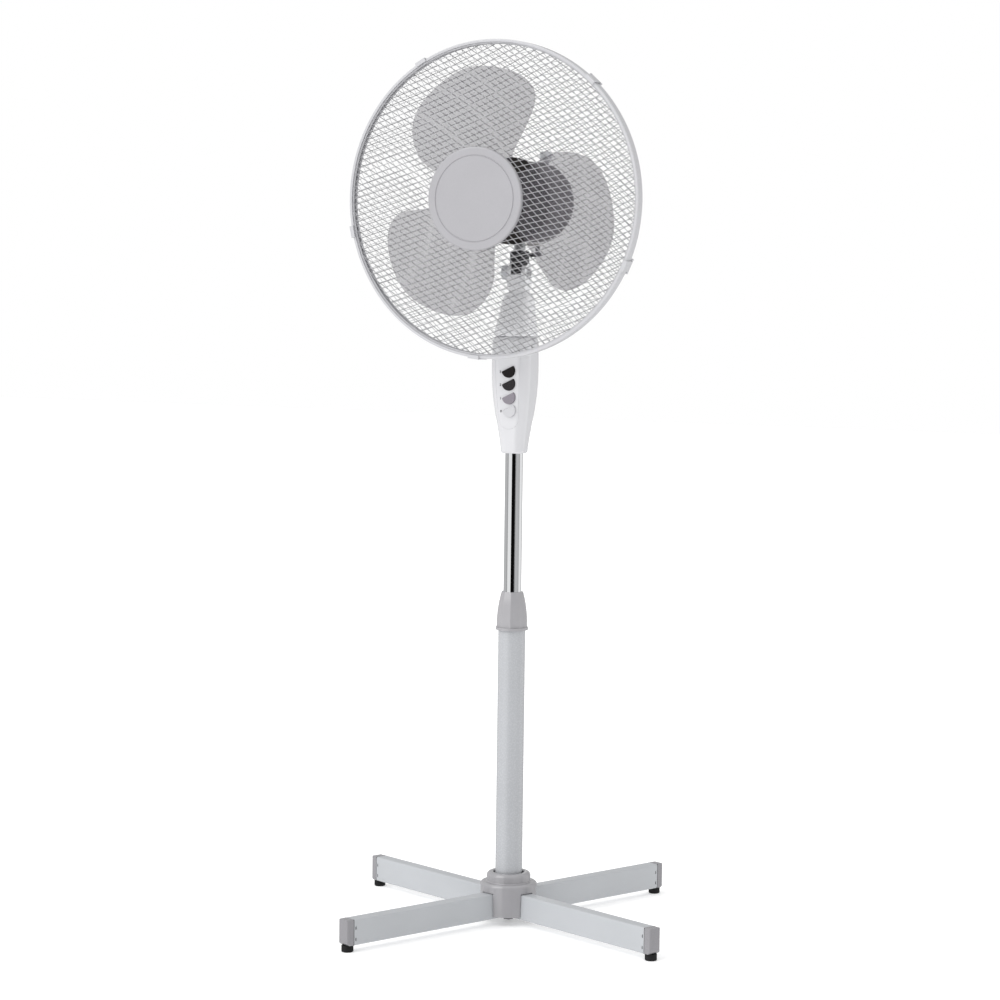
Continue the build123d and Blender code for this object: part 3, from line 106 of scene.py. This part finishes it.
def noise(material, scale, detail=3.0, stretch=(1, 1, 1)):
    """Noise in object space; scale is in bumps per metre."""
    place = node(material, "TexCoord")
    mapping = node(material, "Mapping")
    mapping.inputs["Scale"].default_value = stretch
    texture = node(material, "TexNoise")
    texture.inputs["Scale"].default_value = scale
    texture.inputs["Detail"].default_value = detail
    link(material, place.outputs["Object"], mapping.inputs["Vector"])
    link(material, mapping.outputs["Vector"], texture.inputs["Vector"])
    return texture.outputs["Fac"]


def tones(material, factor, dark, light):
    ramp = node(material, "ValToRGB")
    ramp.color_ramp.elements[0].position = 0.35
    ramp.color_ramp.elements[1].position = 0.65
    ramp.color_ramp.elements[0].color = (*dark, 1)
    ramp.color_ramp.elements[1].color = (*light, 1)
    link(material, factor, ramp.inputs["Fac"])
    return ramp.outputs["Color"]


def spread(material, factor, low, high):
    reach = node(material, "MapRange")
    reach.inputs["From Min"].default_value = 0.3
    reach.inputs["From Max"].default_value = 0.7
    reach.inputs["To Min"].default_value = low
    reach.inputs["To Max"].default_value = high
    link(material, factor, reach.inputs["Value"])
    return reach.outputs["Result"]


def surface(name, colour, vary=0.03, rough=(0.3, 0.4), metallic=0.0, mottle=14.0, grain=900.0,
            bump=0.05, depth=0.2, stretch=(1, 1, 1), coat=0.0, specular=0.5, alpha=1.0):
    """A moulded, painted or metal surface: colour drifts a little over it, and a fine grain
    sets its roughness and bump. depth is the grain's height in mm."""
    material = bpy.data.materials.new(name)
    material.use_nodes = True
    shader = material.node_tree.nodes["Principled BSDF"]
    socket(shader, "Metallic", metallic)
    socket(shader, "Coat Weight", coat)
    socket(shader, "Coat Roughness", 0.08)
    socket(shader, "Specular IOR Level", specular)
    socket(shader, "Alpha", alpha)
    dark = tuple(c * (1 - vary) for c in colour)
    light = tuple(min(1.0, c * (1 + vary)) for c in colour)
    link(material, tones(material, noise(material, mottle, 4.0, stretch), dark, light),
         shader.inputs["Base Color"])
    fine = noise(material, grain, 2.0, stretch)
    link(material, spread(material, fine, *rough), shader.inputs["Roughness"])
    height = node(material, "Bump")
    height.inputs["Strength"].default_value = bump
    height.inputs["Distance"].default_value = depth * MM
    link(material, fine, height.inputs["Height"])
    link(material, height.outputs["Normal"], shader.inputs["Normal"])
    return material


def brushed(name, colour, axis_stretch, rough=(0.22, 0.36)):
    return surface(name, colour, 0.06, rough, metallic=1.0, mottle=60, grain=1400,
                   bump=0.12, depth=0.05, stretch=axis_stretch)


MATERIALS = {
    "leg_paint": surface("white_leg_enamel", (0.455, 0.47, 0.49), 0.025, (0.28, 0.42), coat=0.25,
                         mottle=9, grain=520, bump=0.09, depth=0.25),
    "grey_plastic": surface("grey_moulded_plastic", (0.275, 0.27, 0.285), 0.03, (0.2, 0.3),
                            grain=1500, bump=0.12, depth=0.12),
    "black_rubber": surface("black_rubber", (0.012, 0.012, 0.013), 0.3, (0.6, 0.85), grain=1300,
                            bump=0.3, depth=0.15, specular=0.3),
    "screw_steel": brushed("screw_steel", (0.10, 0.10, 0.11), (1, 1, 1)),
    "tube_paint": surface("white_tube_enamel", (0.44, 0.45, 0.47), 0.02, (0.2, 0.32), coat=0.4,
                          mottle=8, grain=480, bump=0.015, depth=0.05),
    "white_nylon": surface("white_nylon", (0.72, 0.70, 0.65), 0.04, (0.45, 0.6)),
    "chrome_tube": surface("chrome_plate", (0.86, 0.87, 0.88), 0.01, (0.03, 0.06), metallic=1.0,
                           mottle=40, grain=260, bump=0.02, depth=0.05, stretch=(1, 1, 0.05)),
    "box_white": surface("white_gloss_plastic", (0.64, 0.64, 0.66), 0.012, (0.12, 0.2), coat=0.5,
                         mottle=10, grain=1100, bump=0.03, depth=0.08),
    "black_plastic": surface("black_moulded_plastic", (0.016, 0.016, 0.018), 0.15, (0.3, 0.45)),
    "button_white": surface("white_button", (0.56, 0.56, 0.58), 0.015, (0.15, 0.24), coat=0.4),
    "button_mauve": surface("mauve_button", (0.24, 0.22, 0.25), 0.02, (0.2, 0.3), coat=0.1),
    "button_grey": surface("grey_button", (0.020, 0.017, 0.019), 0.05, (0.2, 0.3), specular=0.25),
    "button_dark": surface("dark_button", (0.008, 0.006, 0.006), 0.05, (0.2, 0.3), specular=0.2),
    "collar_grey": surface("grey_collar_plastic", (0.35, 0.345, 0.36), 0.03, (0.16, 0.24), coat=0.4,
                           grain=1500, bump=0.05, depth=0.08),
    "hub_grey": surface("grey_hub_plastic", (0.33, 0.325, 0.34), 0.03, (0.12, 0.2), coat=0.6,
                        grain=1500, bump=0.05, depth=0.08),
    # rear net wire: the same coated wire as the front net, darkened as painted shade for the net
    # lying behind the blades
    "rear_wire_painted_shade": surface("coated_rear_wire_painted_shade", (0.20, 0.20, 0.21), 0.03, (0.22, 0.34), coat=0.3,
                         mottle=30, grain=1600, bump=0.08, depth=0.06),
    # rim wire: the same coated wire, lightened as painted light to offset the shade in the gap at
    # the rims
    "rim_wire_painted_light": surface("coated_rim_wire_painted_light", (0.50, 0.50, 0.52), 0.03, (0.2, 0.3), coat=0.3,
                        mottle=30, grain=1600, bump=0.08, depth=0.06),
    # neck: the box's white plastic made lighter than the box, as painted light to offset the shade
    # the neck sits in
    "neck_white_painted_light": surface("white_neck_plastic_painted_light", (0.86, 0.86, 0.88), 0.012, (0.2, 0.3)),
    "neck_plastic": surface("light_grey_plastic", (0.56, 0.57, 0.60), 0.02, (0.3, 0.42)),
    # motor cover: its own dark colour, pushed to near-black brown as painted shade for the motor
    # seen in shadow through the blades
    "motor_black": surface("motor_cover_dark_and_painted_shade", (0.012, 0.007, 0.006), 0.15, (0.34, 0.5),
                           grain=1200, bump=0.16, depth=0.14),
    "cast_aluminium": surface("die_cast_aluminium", (0.55, 0.56, 0.57), 0.08, (0.35, 0.55),
                              metallic=1.0, grain=650, bump=0.25, depth=0.2),
    "bronze": brushed("sintered_bronze", (0.50, 0.33, 0.14), (1, 1, 1)),
    "core_steel": surface("steel_laminations", (0.25, 0.25, 0.26), 0.2, (0.35, 0.5), metallic=1.0,
                          mottle=900, grain=1600, bump=0.4, depth=0.1, stretch=(0.02, 1, 0.02)),
    "copper": surface("enamelled_copper", (0.45, 0.15, 0.055), 0.25, (0.25, 0.4), metallic=0.8,
                      mottle=500, grain=900, bump=0.5, depth=0.3, stretch=(1, 0.15, 1)),
    "shaft_steel": brushed("ground_steel", (0.60, 0.60, 0.61), (1, 0.1, 1)),
    "hoop_plastic": surface("hoop_plastic", (0.53, 0.53, 0.55), 0.02, (0.2, 0.3), coat=0.35,
                            grain=1100, bump=0.04, depth=0.1),
    # front net wire: the coated wire lightened as painted light; the rear and rim wires are a
    # darker and a lighter copy of it
    "guard_wire": surface("coated_wire_painted_light", (0.47, 0.47, 0.485), 0.03, (0.22, 0.34), coat=0.3,
                          mottle=30, grain=1600, bump=0.08, depth=0.06),
    "badge_grey": surface("badge_plastic", (0.385, 0.38, 0.40), 0.015, (0.25, 0.34), coat=0.25,
                          grain=1700, bump=0.05, depth=0.06),
    "smoke_plastic": surface("smoked_clear_plastic", (0.185, 0.175, 0.20), 0.05, (0.16, 0.26),
                             mottle=7, grain=700, bump=0.03, depth=0.1, alpha=0.35),
}
MATERIALS["guard_net"] = MATERIALS["guard_wire"]

FINISHES = {                # nodes that wear something other than their slot's usual finish
    # the neck wears the lightened copy of the box's white: painted light
    "neck_post": "neck_white_painted_light",
    "swing_knob": "neck_plastic",
    "height_collar": "collar_grey",
    "base_hub": "hub_grey",
    # both rims wear the lightened copy of the wire: painted light
    "front_guard_rim": "rim_wire_painted_light",
    "rear_guard_rim": "rim_wire_painted_light",
    "crank_link": "white_nylon",
    "tilt_bolt": "shaft_steel",
    # the rear guard plate and its nut wear the same near-black, painted shade included
    "rear_guard_plate": "motor_black",
    "guard_nut": "motor_black",
}

for part in frame["record"]["subparts"]:
    carried = NODES[part["node"]]
    carried.data.materials.clear()
    finish = FINISHES.get(part["node"], part["material_slot"])
    carried.data.materials.append(MATERIALS[finish])


# ---- building helpers -----------------------------------------------------------------------
def piece(name, mesh, material, body, replaced=()):
    made = bpy.data.objects.new(name, mesh)
    bpy.context.scene.collection.objects.link(made)
    mesh.materials.append(material)
    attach(made, body)
    if replaced:
        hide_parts(*replaced)


def tubes(name, paths, radius, sides):
    """One mesh of round tubes, each along a list of points, with closed ends."""
    points = []
    faces = []
    for path in paths:
        line = np.array(path, float)
        along = np.gradient(line, axis=0)
        along /= np.linalg.norm(along, axis=1)[:, None]
        across = np.cross(along, (0.0, 1.0, 0.0))
        across /= np.linalg.norm(across, axis=1)[:, None]
        upward = np.cross(across, along)
        start = len(points)
        for p, a, b in zip(line, across, upward):
            for k in range(sides):
                turn = 2 * math.pi * k / sides
                points.append(p + radius * (math.cos(turn) * a + math.sin(turn) * b))
        for ring in range(len(line) - 1):
            for k in range(sides):
                near = start + ring * sides
                nxt = (k + 1) % sides
                faces.append((near + k, near + nxt, near + sides + nxt, near + sides + k))
        faces.append(tuple(start + k for k in reversed(range(sides))))
        last = start + (len(line) - 1) * sides
        faces.append(tuple(last + k for k in range(sides)))
    mesh = bpy.data.meshes.new(name)
    mesh.from_pydata([tuple(p) for p in points], [], faces)
    mesh.polygons.foreach_set("use_smooth", [True] * len(faces))
    mesh.update()
    return mesh


# ---- wire nets of the guard -----------------------------------------------------------------
def net_paths(net, middle, side, directions):
    """Two layers of straight-running wires laid over the guard's sphere, from the rim to the
    disc in the middle. side is -1 for the front net, which bulges towards -Y."""
    low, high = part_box(net)
    centre_z = (low.z + high.z) / 2
    edge = (high.x - low.x) / 2 + WIRE_END_LAP
    inner_low, inner_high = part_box(middle)
    inner = (inner_high.x - inner_low.x) / 2 - WIRE_DISC_LAP
    rim_y = high.y if side < 0 else low.y
    centre_y = rim_y - side * math.sqrt(NET_SPHERE**2 - edge**2)
    paths = []
    for layer, direction in enumerate(directions):
        turn = math.radians(direction)
        run = np.array((math.cos(turn), math.sin(turn)))
        off = np.array((-math.sin(turn), math.cos(turn)))
        lift = (layer - 0.5) * 2 * WIRE_RADIUS
        count = int(edge / WIRE_PITCH)
        for k in range(-count, count + 1):
            shift = (k + 0.5) * WIRE_PITCH
            if abs(shift) > edge - WIRE_EDGE_GAP:
                continue
            reach = math.sqrt(edge**2 - shift**2)
            if abs(shift) < inner:
                gap = math.sqrt(inner**2 - shift**2)
                stretches = ((-reach, -gap), (gap, reach))
            else:
                stretches = ((-reach, reach),)
            for start, end in stretches:
                path = []
                for t in np.linspace(start, end, WIRE_STEPS):
                    x, z = shift * off + t * run
                    y = centre_y + side * (math.sqrt(NET_SPHERE**2 - x * x - z * z) + lift)
                    path.append((x, y, centre_z + z))
                paths.append(path)
    return paths


# the front net's finish is lightened and the rear net's darkened: painted light and painted shade
# on one wire
NETS = (                    # node, disc in its middle, side it bulges to, wires, finish
    ("front_guard_net", "badge_disc", -1, FRONT_WIRES, "guard_wire"),
    ("rear_guard_net", "rear_guard_plate", 1, REAR_WIRES, "rear_wire_painted_shade"),
)

for net, middle, side, directions, finish in NETS:
    paths = net_paths(net, middle, side, directions)
    wires = tubes(net + "_wires", paths, WIRE_RADIUS, WIRE_SIDES)
    piece(net + "_wires", wires, MATERIALS[finish], "head", (net,))


# ---- numbers beside the buttons -------------------------------------------------------------
NUMBER_SIZE = 4.6 * MM
NUMBER_DEPTH = 0.1 * MM
NUMBER_BOLDNESS = 0.12 * MM
NUMBER_GAP = 3.0 * MM            # from the button's left edge to the middle of the number
NUMBER_DROP = 0.5 * MM           # below the middle of the button


def surface_tree(name):
    mesh = NODES[name].data
    corners = [vertex.co for vertex in mesh.vertices]
    return BVHTree.FromPolygons(corners, [tuple(face.vertices) for face in mesh.polygons])


PANEL_TREE = surface_tree("button_panel")


def panel_number(digit, button):
    """A small printed number on the panel, to the left of its button."""
    low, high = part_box(button)
    text = bpy.data.curves.new("number_" + digit, "FONT")
    text.body = digit
    text.size = NUMBER_SIZE
    text.extrude = NUMBER_DEPTH
    text.offset = NUMBER_BOLDNESS
    text.align_x = "CENTER"
    text.align_y = "CENTER"
    lettering = bpy.data.objects.new("source_" + digit, text)
    bpy.context.scene.collection.objects.link(lettering)
    bpy.context.view_layer.update()
    mesh = bpy.data.meshes.new_from_object(lettering)
    bpy.data.objects.remove(lettering)
    x = low.x - NUMBER_GAP
    z = (low.z + high.z) / 2 - NUMBER_DROP
    in_front = Vector((x, -0.1, z))
    spot, outward = PANEL_TREE.ray_cast(in_front, Vector((0, 1, 0)))[:2]
    turn = outward.to_track_quat("Z", "Y").to_matrix().to_4x4()
    mesh.transform(Matrix.Translation(spot) @ turn)
    mesh.name = "panel_number_" + digit
    piece("panel_number_" + digit, mesh, MATERIALS["button_dark"], "mast")


for digit in "0123":
    panel_number(digit, "button_" + digit)


# ---- black frames and blocks of painted shade where the leg bars meet their caps ------------
LEG_TURNS = (66.0, 156.0, 246.0, 336.0)
CORNERS = ((-1, -1), (1, -1), (1, 1), (-1, 1))
# black frames in the joints between bars and caps: painted shade standing in for the dark of the
# open joints
SHADE_FRAME_INNER = (8.4 * MM, 16.4 * MM)     # half sizes across and up
SHADE_FRAME_OUTER = (9.7 * MM, 17.7 * MM)
SHADE_FRAME_REACH = (286.05 * MM, 286.85 * MM)
# black blocks in the leg bars' slots: painted shade standing in for the dark inside the open slots
SLOT_SHADE_REACH = 283.2 * MM
SLOT_SHADE_HEIGHTS = (-9.5 * MM, 6.0 * MM)
SLOT_SHADE_HALF = (0.75 * MM, 8.9 * MM, 2.3 * MM)      # along the leg, across it and up

LEG_LOW, LEG_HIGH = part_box("leg_bar_lower")
LEG_MIDDLE = (LEG_LOW.z + LEG_HIGH.z) / 2


def leg_piece(name, shape, turn):
    """Turn a shape made along +X round to its leg, as a black piece of the base."""
    shape.transform(Matrix.Rotation(math.radians(turn), 4, "Z"))
    mesh = bpy.data.meshes.new(name)
    shape.to_mesh(mesh)
    shape.free()
    piece(name, mesh, MATERIALS["black_rubber"], "base")


def cap_shade_frame(number, turn):
    """A thin black frame of painted shade in the open joint between a bar and its cap, a little
    below flush.
    """
    shade_frame = bmesh.new()
    rings = []
    for reach in SHADE_FRAME_REACH:
        for half_width, half_height in (SHADE_FRAME_INNER, SHADE_FRAME_OUTER):
            ring = []
            for across, up in CORNERS:
                place = (reach, across * half_width, LEG_MIDDLE + up * half_height)
                ring.append(shade_frame.verts.new(place))
            rings.append(ring)
    near_inner, near_outer, far_inner, far_outer = rings
    for k in range(4):
        n = (k + 1) % 4
        shade_frame.faces.new((near_inner[k], near_inner[n], near_outer[n], near_outer[k]))
        shade_frame.faces.new((far_inner[n], far_inner[k], far_outer[k], far_outer[n]))
        shade_frame.faces.new((near_outer[k], near_outer[n], far_outer[n], far_outer[k]))
        shade_frame.faces.new((near_inner[n], near_inner[k], far_inner[k], far_inner[n]))
    bmesh.ops.recalc_face_normals(shade_frame, faces=shade_frame.faces)
    leg_piece(f"cap_shade_frame_{number}", shade_frame, turn)


def cap_slot_shades(number, turn):
    """Two black blocks of painted shade in the slots at the end of a leg bar, where the cap's
    tongues show.
    """
    slot_shades = bmesh.new()
    half_length, half_width, half_height = SLOT_SHADE_HALF
    for height in SLOT_SHADE_HEIGHTS:
        corners = []
        for up in (-1, 1):
            for along, across in CORNERS:
                x = SLOT_SHADE_REACH + along * half_length
                z = LEG_MIDDLE + height + up * half_height
                corners.append(slot_shades.verts.new((x, across * half_width, z)))
        slot_shades.faces.new(corners[3::-1])
        slot_shades.faces.new(corners[4:])
        for k in range(4):
            n = (k + 1) % 4
            slot_shades.faces.new((corners[k], corners[n], corners[4 + n], corners[4 + k]))
    leg_piece(f"cap_slot_shades_{number}", slot_shades, turn)


for number, turn in enumerate(LEG_TURNS):
    cap_shade_frame(number + 1, turn)
    cap_slot_shades(number + 1, turn)


# ---- camera, light and floor ----------------------------------------------------------------
def make_camera():
    data = bpy.data.cameras.new("camera")
    data.lens = CAMERA_LENS
    data.sensor_width = 36.0
    data.clip_end = 60.0
    camera = bpy.data.objects.new("camera", data)
    bpy.context.scene.collection.objects.link(camera)
    camera.matrix_world = (
        Matrix.Translation(CAMERA_PLACE)
        @ Matrix.Rotation(math.radians(CAMERA_TURN), 4, "Z")
        @ Matrix.Rotation(math.radians(90 - CAMERA_PITCH), 4, "X")
        @ Matrix.Rotation(math.radians(CAMERA_ROLL), 4, "Z")
    )
    bpy.context.scene.camera = camera


def sun_light(name, direction, strength, softness):
    data = bpy.data.lights.new(name, "SUN")
    data.energy = strength
    data.angle = math.radians(softness)
    lamp = bpy.data.objects.new(name, data)
    lamp.rotation_euler = Vector(direction).to_track_quat("-Z", "Y").to_euler()
    bpy.context.scene.collection.objects.link(lamp)


def make_world():
    """Plain white all round; the camera sees it a little brighter than the object does."""
    world = bpy.data.worlds.new("studio")
    bpy.context.scene.world = world
    world.use_nodes = True
    tree = world.node_tree
    tree.nodes.clear()
    output = tree.nodes.new("ShaderNodeOutputWorld")
    seen = tree.nodes.new("ShaderNodeLightPath")
    choose = tree.nodes.new("ShaderNodeMixShader")
    for slot, strength in ((1, WORLD_LIGHT), (2, 1.0)):
        plain = tree.nodes.new("ShaderNodeBackground")
        plain.inputs["Color"].default_value = (1, 1, 1, 1)
        plain.inputs["Strength"].default_value = strength
        tree.links.new(plain.outputs[0], choose.inputs[slot])
    tree.links.new(seen.outputs["Is Camera Ray"], choose.inputs[0])
    tree.links.new(choose.outputs[0], output.inputs["Surface"])


def glowing(name, level):
    material = bpy.data.materials.new(name)
    material.use_nodes = True
    tree = material.node_tree
    tree.nodes.clear()
    glow = tree.nodes.new("ShaderNodeEmission")
    glow.inputs["Color"].default_value = (level, level, level * 1.01, 1)
    output = tree.nodes.new("ShaderNodeOutputMaterial")
    tree.links.new(glow.outputs[0], output.inputs["Surface"])
    return material


def reflection_card(name, start, end, level):
    """A tall curved studio panel, seen only in reflections; angles are about the pole."""
    mesh = bpy.data.meshes.new(name)
    points = []
    for k in range(CARD_STEPS + 1):
        turn = math.radians(start + (end - start) * k / CARD_STEPS)
        for height in CARD_HEIGHTS:
            points.append((CARD_REACH * math.cos(turn), CARD_REACH * math.sin(turn), height))
    faces = [(2 * k, 2 * k + 2, 2 * k + 3, 2 * k + 1) for k in range(CARD_STEPS)]
    mesh.from_pydata(points, [], faces)
    card = bpy.data.objects.new(name, mesh)
    bpy.context.scene.collection.objects.link(card)
    mesh.materials.append(glowing(name, level))
    card.visible_camera = False
    card.visible_diffuse = False
    card.visible_shadow = False
    card.visible_transmission = False


def make_floor():
    mesh = bpy.data.meshes.new("floor")
    grid = bmesh.new()
    bmesh.ops.create_grid(grid, x_segments=1, y_segments=1, size=FLOOR_HALF)
    grid.to_mesh(mesh)
    grid.free()
    floor = bpy.data.objects.new("floor", mesh)
    bpy.context.scene.collection.objects.link(floor)
    pale = surface("pale_floor", (0.92, 0.92, 0.92), 0.004, (0.6, 0.7), mottle=1.5, grain=60,
                   bump=0.0, specular=0.1)
    shader = pale.node_tree.nodes["Principled BSDF"]
    socket(shader, "Emission Color", (1, 1, 1, 1))
    socket(shader, "Emission Strength", FLOOR_GLOW)
    mesh.materials.append(pale)
    floor.visible_glossy = False


make_camera()
make_world()
make_floor()
sun_light("key", KEY_DIRECTION, KEY_LIGHT, KEY_SOFTNESS)
for name, start, end, level in CARDS:
    reflection_card(name, start, end, level)
bpy.context.scene.view_settings.view_transform = "Standard"
